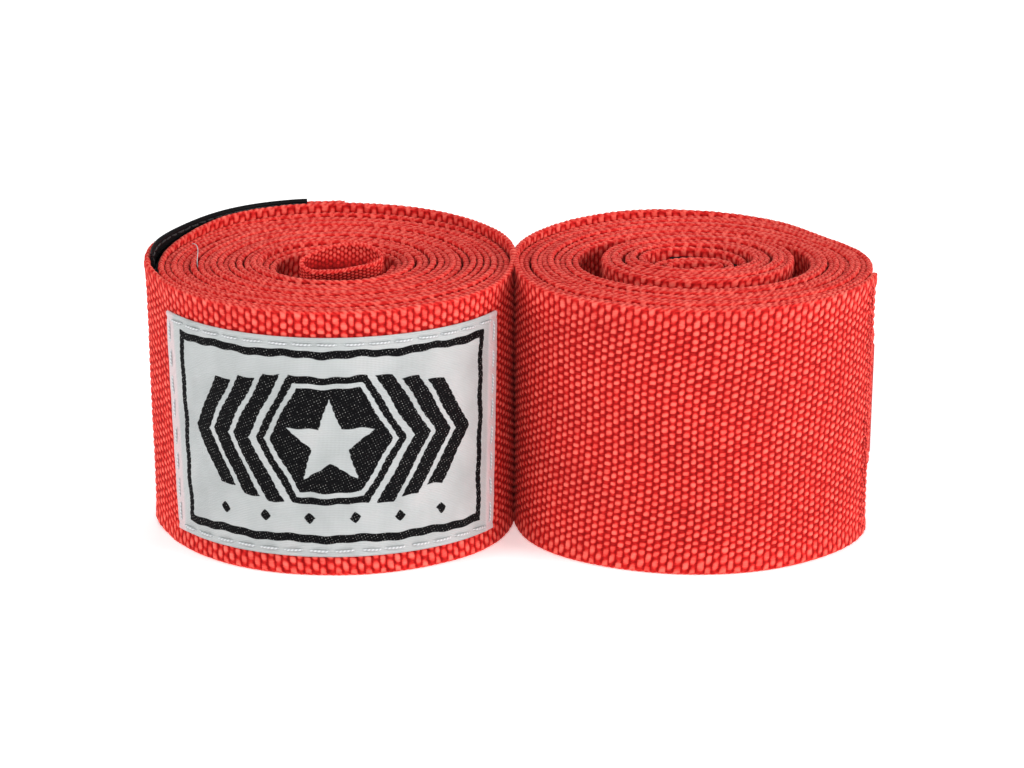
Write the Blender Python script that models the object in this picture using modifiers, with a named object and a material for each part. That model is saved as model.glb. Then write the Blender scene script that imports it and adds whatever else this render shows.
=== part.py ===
"""A pair of boxing hand wraps, each a long woven band rolled up and stood on its edge.

Left wrap: wound with its thumb loop in the middle, so that its label and hook closure are outside.
Right wrap: wound with its closure in the middle, so that its plain end and thumb loop are outside.
Metres, +Z up, the table at Z = 0. The labelled front looks towards -Y.
"""

import math

import bmesh
import bpy

TAU = 2 * math.pi
FACETS = 24  # straight facets in one turn, at the same angles in every turn

# The woven band
BAND_WIDTH = 0.0508
BAND_THICK = 0.0009
JOIN_GAP = 0.0003  # between two stretches of one band, where it bends

# What is sewn on the band
TAPE_THICK = 0.0007
TAPE_WIDTH = 0.0500
LABEL_THICK = 0.0004
LABEL_LOW = 0.0039
LABEL_HIGH = 0.0461
LABEL_INSET = 0.0014  # from the label's edge to its stitching
THREAD_THICK = 0.0003
THREAD_WIDTH = 0.0007
HEM_LENGTH = 0.0065
HEM_STITCH_INSET = 0.0045  # from the fold to the stitch line
HEM_MARGIN = 0.0010  # from the band's edges to the ends of that line
TACK_THICK = 0.0012  # the dense stitching at the root of a thumb loop
LOOP_WIDTH = 0.0254
LOOP_THICK = 0.0007
SEWN_GAP = 0.0003  # between two layers that are sewn together

# Where the two rolls stand, their axes being vertical
LEFT_AXIS = (-0.03340, -0.00049)
RIGHT_AXIS = (0.03465, -0.00014)

# Left roll: it winds outward clockwise, seen from above
LEFT_INNER = 0.0107
LEFT_HINGE_RADIUS = 0.0336
LEFT_END_ANGLE = math.radians(89)
LEFT_HINGE_ANGLE = math.radians(205)
LEFT_TURNS_TO_HINGE = 18 + 155 / 360
LEFT_CORE_TURNS = 4.0
LEFT_STRETCH = (0.0012, 0.0002)  # how much wider than deep, at the middle and outside
FLAP_LIFT = 0.0022  # room under the closure flap for its two tapes
FLAP_END_LIFT = 0.0011  # less room at its end, past the tapes
FLAP_RISE = 0.0016  # how far the flap stands above the other turns
LEFT_LOOP_CENTRE = (-0.03200, -0.00149)
LEFT_LOOP_HALF_LONG = 0.0076
LEFT_LOOP_HALF_WIDE = 0.0031
LEFT_LOOP_SIDES = 20
LEFT_LOOP_TOP = 0.0520
LEFT_LOOP_HEIGHT = 0.0381  # the strap is folded a little, so it stands taller than it is wide
LABEL_ANGLES = (math.radians(331), math.radians(209))
HOOK_ANGLES = (math.radians(185), math.radians(101))
LOOP_TAPE_ANGLES = (math.radians(192), math.radians(118))

# Right roll: it winds outward counter-clockwise
RIGHT_CORE_INNER = 0.0040
RIGHT_CORE_OUTER = 0.01785
RIGHT_CORE_PITCH = 0.00105
# The label and the hook tape are wound into the first turns: (last turn, distance to the turn inside it)
RIGHT_CLOSURE = ((1.70, 0.00290), (2.55, 0.00205))
RIGHT_HOOK_TURNS = (0.35, 1.60)
RIGHT_LABEL_TURNS = (0.20, 1.45)
RIGHT_LOOP_TAPE_TURNS = (3.5, 4.3)
RIGHT_LOOP_TAPE_LIFT = 0.0010
RIGHT_SEWN_GAP = 0.00015
RIGHT_COIL_INNER = 0.0191
RIGHT_HINGE_RADIUS = 0.0326
RIGHT_COIL_TURNS = 11 + 60 / 360
RIGHT_STRETCH = (0.0026, 0.0012)
RIGHT_END_ANGLE = math.radians(-15)
RIGHT_HINGE_ANGLE = math.radians(-60)
RIGHT_FLAT_ANGLE = math.radians(36)  # where the roll is pressed flat, and by how much
RIGHT_FLAT_SPREAD = math.radians(30)
RIGHT_FLAT_DEPTH = 0.0024
END_LIFT = 0.00130
RIGHT_CORE_RISE = 0.0033  # how far the middle is pushed up at its front
RIGHT_LOOP_ANGLES = (math.radians(-13.6), math.radians(34))
RIGHT_LOOP_STEPS = 8
RIGHT_LOOP_EYE = 0.0005  # between the two straps of the flattened loop
RIGHT_TACK_ANGLE = math.radians(-9.6)
TACK_MARGIN = 0.0020  # from a thumb loop's edges to the ends of its stitching

# Colours, as linear values
CORAL = (0.72, 0.058, 0.042, 1.0)
CORAL_DARK = (0.50, 0.030, 0.022, 1.0)
BLACK = (0.012, 0.012, 0.013, 1.0)
WHITE = (0.80, 0.82, 0.83, 1.0)


def clear_scene():
    for old in list(bpy.data.objects):
        bpy.data.objects.remove(old, do_unlink=True)


def make_material(name, colour, roughness):
    material = bpy.data.materials.new(name)
    material.use_nodes = True
    shader = material.node_tree.nodes["Principled BSDF"]
    shader.inputs["Base Color"].default_value = colour
    shader.inputs["Roughness"].default_value = roughness
    shader.inputs["Metallic"].default_value = 0.0
    return material


def smooth_step(value, start, end):
    share = min(max((value - start) / (end - start), 0.0), 1.0)
    return share * share * (3 - 2 * share)


class Spiral:
    """The middle line of a wound band, seen from above. A turn of 0 is its inner end."""

    def __init__(self, axis, turns, end_angle, direction, radius, stretch=(0.0, 0.0), shape=None):
        self.axis = axis
        self.turns = turns
        self.end_angle = end_angle
        self.direction = direction
        self.radius = radius
        self.stretch = stretch
        self.shape = shape
        self.inner = radius(0.0)
        self.outer = radius(turns)

    def angle(self, turn):
        return self.end_angle + self.direction * TAU * (turn - self.turns)

    def turn_at(self, angle, layer=0):
        """The turn whose angle this is, counting whole layers inward from the outer end."""
        back = ((self.end_angle - angle) * self.direction / TAU) % 1.0
        return self.turns - back - layer

    def point(self, turn):
        angle = self.angle(turn)
        radius = self.radius(turn)
        share = (radius - self.inner) / (self.outer - self.inner)
        wide = self.stretch[0] + (self.stretch[1] - self.stretch[0]) * share
        if self.shape:
            radius -= self.shape(angle) * share
        x = self.axis[0] + (radius + wide) * math.cos(angle)
        y = self.axis[1] + radius * math.sin(angle)
        return x, y

    def outward(self, turn):
        """The unit normal that points away from the axis."""
        before = self.point(turn - 0.002)
        after = self.point(turn + 0.002)
        x, y = (after[1] - before[1]) * self.direction, (before[0] - after[0]) * self.direction
        length = math.hypot(x, y)
        return x / length, y / length

    def corner(self, number, offset):
        """A facet's corner, moved outward. Corner 0 is the outer end, and the others are below it."""
        turn = self.turns + number / FACETS
        x, y = self.point(turn)
        across, along = self.outward(turn)
        return x + across * offset, y + along * offset

    def on_facet(self, turn, offset=0.0):
        """The point at any turn, on the straight facet between two corners."""
        at = (turn - self.turns) * FACETS
        number = math.floor(at + 1e-6)
        share = at - number
        before = self.corner(number, offset)
        after = self.corner(number + 1, offset)
        return tuple(b + (a - b) * share for b, a in zip(before, after))

    def path(self, first, last, offset=0.0):
        """Points from one turn to another, at every facet corner between them."""
        points = [self.on_facet(first, offset)]
        number = math.floor((first - self.turns) * FACETS + 1e-3) + 1
        while number < (last - self.turns) * FACETS - 1e-3:
            points.append(self.corner(number, offset))
            number += 1
        points.append(self.on_facet(last, offset))
        return points

    def turns_for(self, length, turn):
        """The share of a turn that a length takes up there."""
        here = self.point(turn)
        reach = math.hypot(here[0] - self.axis[0], here[1] - self.axis[1])
        return length / (TAU * reach)


def ribbon(name, path, low, high, thick, material, parent, closed=False, window=0.0, lift=None):
    """An upright strip along a path, made solid. With a window, only its border of that width is left."""
    shape = bmesh.new()
    levels = [low, high]
    if window:
        levels = [low, low + window, high - window, high]
    columns = []
    for x, y in path:
        raised = lift(x, y) if lift else 0.0
        columns.append([shape.verts.new((x, y, z + raised)) for z in levels])
    last = len(columns) if closed else len(columns) - 1
    for i in range(last):
        here = columns[i]
        after = columns[(i + 1) % len(columns)]
        at_end = i in (0, last - 1)
        for level in range(len(levels) - 1):
            if window and level == 1 and not at_end:
                continue
            shape.faces.new((here[level], after[level], after[level + 1], here[level + 1]))
    mesh = bpy.data.meshes.new(name)
    shape.to_mesh(mesh)
    shape.free()
    mesh.materials.append(material)
    mesh.shade_smooth()
    mesh.set_sharp_from_angle(angle=math.radians(40))
    obj = bpy.data.objects.new(name, mesh)
    PARTS.objects.link(obj)
    solidify = obj.modifiers.new("thickness", "SOLIDIFY")
    solidify.thickness = thick
    solidify.offset = 0.0
    solidify.use_even_offset = True
    hang(obj, parent)
    return obj


def bar(name, x, y, low, high, thick, material, parent):
    """A round upright stitch line, as a curve with a bevel."""
    curve = bpy.data.curves.new(name, "CURVE")
    curve.dimensions = "3D"
    curve.bevel_depth = thick / 2
    curve.bevel_resolution = 2
    curve.use_fill_caps = True
    line = curve.splines.new("POLY")
    line.points.add(1)
    line.points[0].co = (x, y, low, 1.0)
    line.points[1].co = (x, y, high, 1.0)
    curve.materials.append(material)
    obj = bpy.data.objects.new(name, curve)
    PARTS.objects.link(obj)
    hang(obj, parent)
    return obj


def hang(obj, parent):
    """Parents an object to the empty on its joint's axis, and leaves it where it is."""
    obj.parent = parent
    obj.location = (-parent.location.x, -parent.location.y, -parent.location.z)


def pivot(name, x, y, z=0.0):
    empty = bpy.data.objects.new(name, None)
    empty.empty_display_size = 0.01
    empty.location = (x, y, z)
    PARTS.objects.link(empty)
    return empty


def left_spiral():
    flap_turns = (LEFT_HINGE_ANGLE - LEFT_END_ANGLE) / TAU
    pitch = (LEFT_HINGE_RADIUS - LEFT_INNER) / LEFT_TURNS_TO_HINGE

    def radius(turn):
        past_hinge = (turn - LEFT_TURNS_TO_HINGE) / flap_turns
        lift = FLAP_LIFT * smooth_step(past_hinge, 0.02, 0.16)
        lift -= (FLAP_LIFT - FLAP_END_LIFT) * smooth_step(past_hinge, 0.86, 0.96)
        return LEFT_INNER + pitch * turn + lift

    turns = LEFT_TURNS_TO_HINGE + flap_turns
    return Spiral(LEFT_AXIS, turns, LEFT_END_ANGLE, -1, radius, LEFT_STRETCH)


def right_core_spiral():
    over_tape = RIGHT_LOOP_TAPE_TURNS[0] + 1

    def radius(turn):
        total = RIGHT_CORE_INNER + RIGHT_CORE_PITCH * turn
        start = 0.0
        for stop, pitch in RIGHT_CLOSURE:
            total += (pitch - RIGHT_CORE_PITCH) * (min(max(turn, start), stop) - start)
            start = stop
        return total + RIGHT_LOOP_TAPE_LIFT * smooth_step(turn, over_tape - 0.15, over_tape - 0.05)

    after_closure = RIGHT_CLOSURE[-1][0]
    plain = RIGHT_CORE_OUTER - RIGHT_LOOP_TAPE_LIFT - radius(after_closure)
    turns = after_closure + plain / RIGHT_CORE_PITCH
    return Spiral(RIGHT_AXIS, turns, math.radians(60), 1, radius)


def right_coil_spiral():
    end_turns = (RIGHT_END_ANGLE - RIGHT_HINGE_ANGLE) / TAU
    pitch = (RIGHT_HINGE_RADIUS - RIGHT_COIL_INNER) / RIGHT_COIL_TURNS

    def radius(turn):
        past_hinge = (turn - RIGHT_COIL_TURNS) / end_turns
        lift = END_LIFT * smooth_step(past_hinge, 0.05, 0.6)
        return RIGHT_COIL_INNER + pitch * turn + lift

    def pressed(angle):
        off = (angle - RIGHT_FLAT_ANGLE + math.pi) % TAU - math.pi
        return RIGHT_FLAT_DEPTH * math.exp(-((off / RIGHT_FLAT_SPREAD) ** 2))

    turns = RIGHT_COIL_TURNS + end_turns
    return Spiral(RIGHT_AXIS, turns, RIGHT_END_ANGLE, 1, radius, RIGHT_STRETCH, pressed)


def tape_with_stitching(name, spiral, turns, side, low, material, thread, parent, gap=SEWN_GAP, lift=None):
    """A tape sewn outside (side 1) or inside (side -1) the band, and the stitching that frames it."""
    first, last = turns
    offset = side * (BAND_THICK / 2 + gap + TAPE_THICK / 2)
    high = low + TAPE_WIDTH
    border = THREAD_WIDTH + SEWN_GAP
    trim = spiral.turns_for(border, (first + last) / 2)
    inside = spiral.path(first + trim, last - trim, offset)
    end_size = spiral.turns_for(THREAD_WIDTH, (first + last) / 2)
    middle = spiral.path(first + end_size, last - end_size, offset)
    framed = [spiral.on_facet(first, offset), *middle, spiral.on_facet(last, offset)]
    ribbon(name, inside, low + border, high - border, TAPE_THICK, material, parent, lift=lift)
    ribbon(name + "_stitching", framed, low, high, TAPE_THICK, thread, parent,
           window=THREAD_WIDTH, lift=lift)


def label_with_stitching(name, spiral, turns, material, thread, parent, gap=SEWN_GAP, lift=None):
    """The woven label on the outer face, and the line of stitching near its edge."""
    first, last = turns
    face = BAND_THICK / 2 + gap + LABEL_THICK / 2
    ribbon(name, spiral.path(first, last, face), LABEL_LOW, LABEL_HIGH, LABEL_THICK,
           material, parent, lift=lift)
    inset = spiral.turns_for(LABEL_INSET, (first + last) / 2)
    end_size = spiral.turns_for(THREAD_WIDTH, (first + last) / 2)
    offset = face + LABEL_THICK / 2 + gap + THREAD_THICK / 2
    start, stop = first + inset, last - inset
    middle = spiral.path(start + end_size, stop - end_size, offset)
    framed = [spiral.on_facet(start, offset), *middle, spiral.on_facet(stop, offset)]
    ribbon(name + "_stitching", framed, LABEL_LOW + LABEL_INSET, LABEL_HIGH - LABEL_INSET,
           THREAD_THICK, thread, parent, window=THREAD_WIDTH, lift=lift)


def hem_with_stitching(name, spiral, low, material, thread, parent):
    """The folded outer end of a band: a second layer inside it, and the stitch line outside it."""
    last = spiral.turns
    first = last - spiral.turns_for(HEM_LENGTH, last)
    offset = -(BAND_THICK + SEWN_GAP)
    ribbon(name, spiral.path(first, last, offset), low, low + BAND_WIDTH, BAND_THICK, material, parent)
    line = last - spiral.turns_for(HEM_STITCH_INSET, last)
    outside = BAND_THICK / 2 + SEWN_GAP + THREAD_THICK / 2
    x, y = spiral.on_facet(line, outside)
    bar(name + "_stitching", x, y, low + HEM_MARGIN, low + BAND_WIDTH - HEM_MARGIN,
        THREAD_THICK, thread, parent)


def build_left():
    spiral = left_spiral()
    hinge_turn = LEFT_TURNS_TO_HINGE
    coil = pivot("left_coil_pivot", *LEFT_AXIS)
    core = pivot("left_core_pivot", *LEFT_AXIS)
    flap = pivot("left_flap_pivot", *spiral.on_facet(hinge_turn, BAND_THICK / 2))

    step = spiral.turns_for(JOIN_GAP, LEFT_CORE_TURNS) / 2
    core_path = spiral.path(0.0, LEFT_CORE_TURNS - step)
    ribbon("left_band_core", core_path, 0.0, BAND_WIDTH, BAND_THICK, FABRIC, core)
    step_out = spiral.turns_for(JOIN_GAP, hinge_turn) / 2
    coil_path = spiral.path(LEFT_CORE_TURNS + step, hinge_turn - step_out)
    ribbon("left_band_coil", coil_path, 0.0, BAND_WIDTH, BAND_THICK, FABRIC, coil)
    flap_path = spiral.path(hinge_turn + step_out, spiral.turns)
    ribbon("left_closure_flap", flap_path, FLAP_RISE, FLAP_RISE + BAND_WIDTH, BAND_THICK, FABRIC, flap)
    hem_with_stitching("left_flap_hem", spiral, FLAP_RISE, HEM, RED_THREAD, flap)

    tape_low = (BAND_WIDTH - TAPE_WIDTH) / 2
    hook_turns = [spiral.turn_at(angle) for angle in HOOK_ANGLES]
    tape_with_stitching("left_hook_tape", spiral, hook_turns, -1, FLAP_RISE + tape_low,
                        HOOKS, BLACK_THREAD, flap)
    loop_turns = [spiral.turn_at(angle, layer=1) for angle in LOOP_TAPE_ANGLES]
    tape_with_stitching("left_loop_tape", spiral, loop_turns, 1, tape_low, LOOPS, BLACK_THREAD, coil)
    label_turns = [spiral.turn_at(angle) for angle in LABEL_ANGLES]
    label_with_stitching("left_label", spiral, label_turns, LABEL, WHITE_THREAD, coil)
    build_left_thumb_loop(core)


def build_left_thumb_loop(core):
    """A flattened loop that stands in the hollow of the left roll, sewn to the band's inner end."""
    x0, y0 = LEFT_LOOP_CENTRE
    path = []
    for i in range(LEFT_LOOP_SIDES):
        angle = TAU * i / LEFT_LOOP_SIDES
        x = math.copysign(abs(math.cos(angle)) ** 0.9, math.cos(angle)) * LEFT_LOOP_HALF_LONG
        y = math.copysign(abs(math.sin(angle)) ** 1.15, math.sin(angle)) * LEFT_LOOP_HALF_WIDE
        path.append((x0 + x, y0 + y))
    low = LEFT_LOOP_TOP - LEFT_LOOP_HEIGHT
    hinge = pivot("left_thumb_loop_pivot", x0 + LEFT_LOOP_HALF_LONG, y0)
    ribbon("left_thumb_loop", path, low, LEFT_LOOP_TOP, LOOP_THICK, LOOP_STRAP, hinge, closed=True)
    tack_x = x0 + LEFT_LOOP_HALF_LONG + LOOP_THICK / 2 + SEWN_GAP + TACK_THICK / 2
    tack = [(tack_x, y0 - TACK_THICK), (tack_x, y0 + TACK_THICK)]
    ribbon("left_loop_bartack", tack, low + TACK_MARGIN, BAND_WIDTH - TACK_MARGIN, TACK_THICK,
           RED_THREAD, core)


def build_right():
    core_line = right_core_spiral()
    coil_line = right_coil_spiral()
    hinge_turn = RIGHT_COIL_TURNS
    coil = pivot("right_coil_pivot", *RIGHT_AXIS)
    core = pivot("right_core_pivot", *RIGHT_AXIS)
    end = pivot("right_end_pivot", *coil_line.on_facet(hinge_turn, BAND_THICK / 2))

    step = coil_line.turns_for(JOIN_GAP, hinge_turn) / 2
    ribbon("right_band_coil", coil_line.path(0.0, hinge_turn - step), 0.0, BAND_WIDTH,
           BAND_THICK, FABRIC, coil)
    ribbon("right_band_end", coil_line.path(hinge_turn + step, coil_line.turns), 0.0, BAND_WIDTH,
           BAND_THICK, FABRIC, end)
    hem_with_stitching("right_end_hem", coil_line, 0.0, HEM, RED_THREAD, end)
    build_right_thumb_loop(coil_line)

    def pushed_up(x, y):
        return RIGHT_CORE_RISE * (0.5 - 0.5 * (y - RIGHT_AXIS[1]) / RIGHT_CORE_OUTER)

    ribbon("right_band_core", core_line.path(0.0, core_line.turns), 0.0, BAND_WIDTH,
           BAND_THICK, FABRIC, core, lift=pushed_up)
    tape_low = (BAND_WIDTH - TAPE_WIDTH) / 2
    tape_with_stitching("right_hook_tape", core_line, RIGHT_HOOK_TURNS, -1, tape_low,
                        HOOKS, BLACK_THREAD, core, gap=RIGHT_SEWN_GAP, lift=pushed_up)
    tape_with_stitching("right_loop_tape", core_line, RIGHT_LOOP_TAPE_TURNS, 1, tape_low,
                        LOOPS, BLACK_THREAD, core, lift=pushed_up)
    label_with_stitching("right_label", core_line, RIGHT_LABEL_TURNS, LABEL, WHITE_THREAD,
                         core, gap=RIGHT_SEWN_GAP, lift=pushed_up)


def build_right_thumb_loop(coil_line):
    """A flat loop sewn under the free end, lying against the outer turn behind it."""
    first, last = RIGHT_LOOP_ANGLES
    surface = BAND_THICK / 2 + SEWN_GAP + LOOP_THICK / 2
    outer = surface + LOOP_THICK + RIGHT_LOOP_EYE
    near, far = [], []
    for i in range(RIGHT_LOOP_STEPS + 1):
        turn = coil_line.turn_at(first + (last - first) * i / RIGHT_LOOP_STEPS)
        near.append(coil_line.on_facet(turn, surface))
        far.append(coil_line.on_facet(turn, outer))
    root = coil_line.on_facet(coil_line.turn_at(first), outer + LOOP_THICK / 2)
    hinge = pivot("right_thumb_loop_pivot", *root)
    low = (BAND_WIDTH - LOOP_WIDTH) / 2
    ribbon("right_thumb_loop", near + far[::-1], low, low + LOOP_WIDTH, LOOP_THICK,
           LOOP_STRAP, hinge, closed=True)
    outside = outer + LOOP_THICK / 2 + SEWN_GAP + THREAD_THICK / 2
    x, y = coil_line.on_facet(coil_line.turn_at(RIGHT_TACK_ANGLE), outside)
    bar("right_loop_bartack", x, y, low + TACK_MARGIN, low + LOOP_WIDTH - TACK_MARGIN,
        THREAD_THICK, RED_THREAD, hinge)


clear_scene()
PARTS = bpy.data.collections.new("hand_wrap_pair")
bpy.context.scene.collection.children.link(PARTS)
FABRIC = make_material("band_fabric", CORAL, 0.85)
HEM = make_material("hem_fabric", CORAL, 0.85)
LOOP_STRAP = make_material("loop_strap", CORAL_DARK, 0.85)
HOOKS = make_material("hook_tape", BLACK, 0.55)
LOOPS = make_material("loop_tape", BLACK, 0.9)
LABEL = make_material("woven_label", WHITE, 0.5)
WHITE_THREAD = make_material("white_thread", WHITE, 0.6)
RED_THREAD = make_material("red_thread", CORAL_DARK, 0.6)
BLACK_THREAD = make_material("black_thread", BLACK, 0.6)
build_left()
build_right()
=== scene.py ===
"""Looks of a pair of rolled boxing hand wraps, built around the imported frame.

Both wraps are one long woven band each, so almost every piece is a strip that follows a spiral. The
weave is real geometry: each bead is a warp thread passing over a weft thread. Metres, +Z up.
"""

import math

import bpy
import numpy as np
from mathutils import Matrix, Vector


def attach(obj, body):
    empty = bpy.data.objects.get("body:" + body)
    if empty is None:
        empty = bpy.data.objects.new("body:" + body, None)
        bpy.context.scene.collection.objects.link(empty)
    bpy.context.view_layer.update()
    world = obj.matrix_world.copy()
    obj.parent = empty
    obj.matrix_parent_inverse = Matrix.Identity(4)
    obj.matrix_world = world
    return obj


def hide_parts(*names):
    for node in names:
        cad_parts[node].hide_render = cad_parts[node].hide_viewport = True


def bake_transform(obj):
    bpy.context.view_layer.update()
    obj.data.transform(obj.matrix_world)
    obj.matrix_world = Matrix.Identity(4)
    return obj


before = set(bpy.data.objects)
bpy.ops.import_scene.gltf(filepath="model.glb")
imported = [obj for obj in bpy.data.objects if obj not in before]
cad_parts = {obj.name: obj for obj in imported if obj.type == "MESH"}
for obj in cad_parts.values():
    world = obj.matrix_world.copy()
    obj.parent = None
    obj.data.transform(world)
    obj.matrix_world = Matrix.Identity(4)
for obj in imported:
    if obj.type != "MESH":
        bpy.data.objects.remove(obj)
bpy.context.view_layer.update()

TAU = 2 * math.pi
MM = 0.001

# The camera and the studio
ELEVATION = math.radians(17.8)
DISTANCE = 0.80
AIM = Vector((0.0, 0.0, 26.3 * MM))
LENS = 148.2
GAMMA = 0.86
SKY = 0.30
FLOOR_HALF = 3.0
FLOOR_GLOW = 0.38
LIGHT_AIM = Vector((0.0, 0.0, 20 * MM))
LIGHTS = (  # name, place, size, power
    ("left box", (-0.95, -0.40, 0.50), (0.60, 0.70), 5.8),
    ("right box", (1.00, -0.45, 0.40), (0.60, 0.60), 10.4),
    ("front box", (-0.10, -0.85, 0.75), (0.50, 0.35), 3.9),
    ("back", (0.10, 0.90, 0.80), (0.70, 0.40), 2.7),
)

# The band and its weave
BAND_WIDTH = 50.8 * MM
PICK = 1.38 * MM  # from one weft thread to the next, along the band
ENDS = 64  # warp threads across the band
EDGE_ENDS = 3.0  # warp threads at each edge that are spaced wider
EDGE_WIDER = 0.55  # by this share
EDGE_ROUND = 0.55 * MM  # height of the rounded selvedge
GROUND = 0.27 * MM  # half the band's thickness between the beads
EDGE_GROUND = 0.55 * MM  # the same at the selvedge
BEAD_HEIGHT = 0.30 * MM
BEAD_FLOOR = 0.06 * MM  # how far the lowest points sink under the ground
BEAD_HALF = (0.465, 0.74)  # half a bead's size, in picks along the band and in ends across it
EDGE_FLATTER = 0.14 * MM  # how much lower the beads are near the edges
BRAID_HEIGHT = 0.30 * MM  # of the looped weft threads on the selvedge
COARSE_RELIEF = 0.35  # where a hidden face has no beads
FACE = GROUND + BEAD_HEIGHT - BEAD_FLOOR  # from the band's middle to the tops of the beads

# The left roll, which winds outward clockwise seen from above
LEFT_AXIS = (-33.40 * MM, -0.49 * MM)
LEFT_INNER = 10.7 * MM  # the radius of its hollow
LEFT_HINGE_RADIUS = 33.6 * MM  # where the closure flap begins
LEFT_END_ANGLE = math.radians(89)
LEFT_HINGE_ANGLE = math.radians(205)
LEFT_TURNS_TO_HINGE = 18 + 155 / 360
LEFT_CORE_TURNS = 4.0  # that can be pushed up out of the roll
LEFT_STRETCH = (0.3 * MM, 0.2 * MM)  # added to its reach to the sides, at its inner and outer turn
LEFT_SUNK = 1.3 * MM  # how much lower its innermost turn stands
LEFT_WOBBLE = 0.30 * MM  # how unevenly its turns are wound
CORE_GAP = 0.3 * MM / (TAU * 15.6 * MM)  # in turns, between the core's end and the coil's start
FLAP_LIFT = 1.2 * MM  # how far the flap stands off the turn underneath
FLAP_END_LIFT = 0.8 * MM
FLAP_RISE = 1.9 * MM  # how much higher the flap stands, and at most the turns behind it
LABEL_ANGLES = (math.radians(331), math.radians(209))
HOOK_ANGLES = (math.radians(185), math.radians(101))
LOOP_TAPE_ANGLES = (math.radians(192), math.radians(118))
FLAP_BEND_ANGLES = (math.radians(208.4), math.radians(198))
LEFT_LOOP_CENTRE = (-32.00 * MM, -1.49 * MM)
LEFT_LOOP_HALF = (7.6 * MM, 3.1 * MM)
LEFT_LOOP_TOP = 52.0 * MM
LEFT_LOOP_HEIGHT = 38.1 * MM
LEFT_LOOP_MOUTH = 8 * MM  # the loop opens like a mouth over this much of its height
LEFT_LOOP_NARROW = 0.45  # its width below the mouth, as a share
LEFT_LOOP_OPEN = (1.7 * MM, 1.3 * MM)  # how much further out its front and back stand at the top
LEFT_LOOP_TILT = 0.26  # the slope of its top edge, which is higher at the back
LEFT_LOOP_SHADE_HEIGHTS = (48.2 * MM, 51.6 * MM)  # its inside is painted in shade up to about here
LEFT_TAPER = (0.0145, 0.012)  # the shares by which it is narrower and shallower at its foot
LEFT_TAPER_CENTRE = (-0.5 * MM, -0.49 * MM)  # the side where the two rolls touch stays upright
LEFT_PRESSED = ((152, 22, 1.5 * MM), (0, 20, -0.42 * MM), (-36, 22, -0.6 * MM))  # degrees, spread, depth

# The right roll, which winds outward counter-clockwise
RIGHT_AXIS = (34.65 * MM, -0.14 * MM)
RIGHT_CORE_INNER = 4.0 * MM
RIGHT_CORE_OUTER = 17.85 * MM
RIGHT_CORE_PITCH = 1.05 * MM
RIGHT_FOLD_TURNS = 1.0  # of the band's inner end, doubled up in the middle
RIGHT_FOLD_PITCH = 2.3 * MM
RIGHT_CLOSURE = ((2.70, 2.90 * MM), (3.55, 2.05 * MM))  # up to which turn the pitch is this much
RIGHT_HOOK_TURNS = (1.35, 2.60)
RIGHT_LABEL_TURNS = (1.20, 2.45)
RIGHT_LOOP_TAPE_TURNS = (4.5, 5.3)
RIGHT_CORE_STRETCH = (2.2 * MM, 0.0)
RIGHT_SUNK = 1.7 * MM  # how much lower the turns inside the closure stand
RIGHT_SUNK_TURNS = (1.9, 2.7)
RIGHT_LOOP_TAPE_LIFT = 1.0 * MM  # of the turn outside the loop tape
RIGHT_COIL_INNER = 19.1 * MM
RIGHT_HINGE_RADIUS = 32.6 * MM
RIGHT_COIL_TURNS = 11 + 60 / 360
RIGHT_STRETCH = (2.6 * MM, 1.2 * MM)
RIGHT_WOBBLE = 0.26 * MM
RIGHT_SLANT = 0.08  # its weft threads lean sideways by this share of their height
RIGHT_COIL_CLIMB = 1.0 * MM  # the outermost turn stands higher at the back
RIGHT_END_ANGLE = math.radians(-15)
RIGHT_HINGE_ANGLE = math.radians(-60)
RIGHT_BEND_ANGLES = (math.radians(-63.4), math.radians(-54))
RIGHT_PRESSED = ((33, 27, 3.9 * MM), (180, 20, -0.42 * MM), (214, 24, -1.3 * MM))
RIGHT_TAPER = (0.013, -0.012)
RIGHT_TAPER_CENTRE = (0.5 * MM, -0.14 * MM)
END_LIFT = 0.10 * MM  # of the free end, off the turn underneath
RIGHT_CORE_RISE = 1.2 * MM  # how far the middle stands up at its front
RIGHT_CORE_END_ANGLE = math.radians(60)
RIGHT_LOOP_ANGLES = (math.radians(-13.0), math.radians(34))
RIGHT_LOOP_OFFSETS = (0.62 * MM, 1.08 * MM)  # of its two layers, outward from the band's middle
RIGHT_TACK_ANGLE = math.radians(-9.6)

# What is sewn on
TAPE_WIDTH = 50.0 * MM
TAPE_THICK = 0.45 * MM
TAPE_GAP = 0.50 * MM  # from the band's middle to the tape's back
TAPE_BORDER = 1.9 * MM  # without hooks or loops
HEM_LENGTH = 6.5 * MM
FLAP_TAPE_RISE = 1.3 * MM  # the flap's tape shows above its edge
SUNK_TAPE = -1.3 * MM  # the right roll's tapes sit low in its middle
HEM_STITCH_INSET = 4.5 * MM
LOOP_WIDTH = 25.4 * MM
LABEL_LOW = 3.9 * MM
LABEL_HIGH = 46.1 * MM
LABEL_THICK = 0.34 * MM
LABEL_OVERLAP = 0.004  # in turns, of the fine weave under the label's ends
LABEL_NARROWER = 0.045  # its lower edge is drawn in by this share
STITCH_PITCH = 4.7 * MM
STITCH_INSET = 1.25 * MM
STITCH_SHARE = 0.80  # of the pitch that the thread shows
THREAD_RELIEF = 0.6
SHARP = math.radians(62)  # steeper edges than this are shaded sharp


# ---------------------------------------------------------------- camera, light, floor

def add_camera():
    """A long lens at the height from which such a pair is usually shown."""
    data = bpy.data.cameras.new("camera")
    data.lens = LENS
    data.clip_start = 0.01
    camera = bpy.data.objects.new("camera", data)
    bpy.context.scene.collection.objects.link(camera)
    back = Vector((0.0, -math.cos(ELEVATION), math.sin(ELEVATION)))
    camera.location = AIM + back * DISTANCE
    camera.rotation_euler = (-back).to_track_quat("-Z", "Y").to_euler()
    bpy.context.scene.camera = camera


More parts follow.
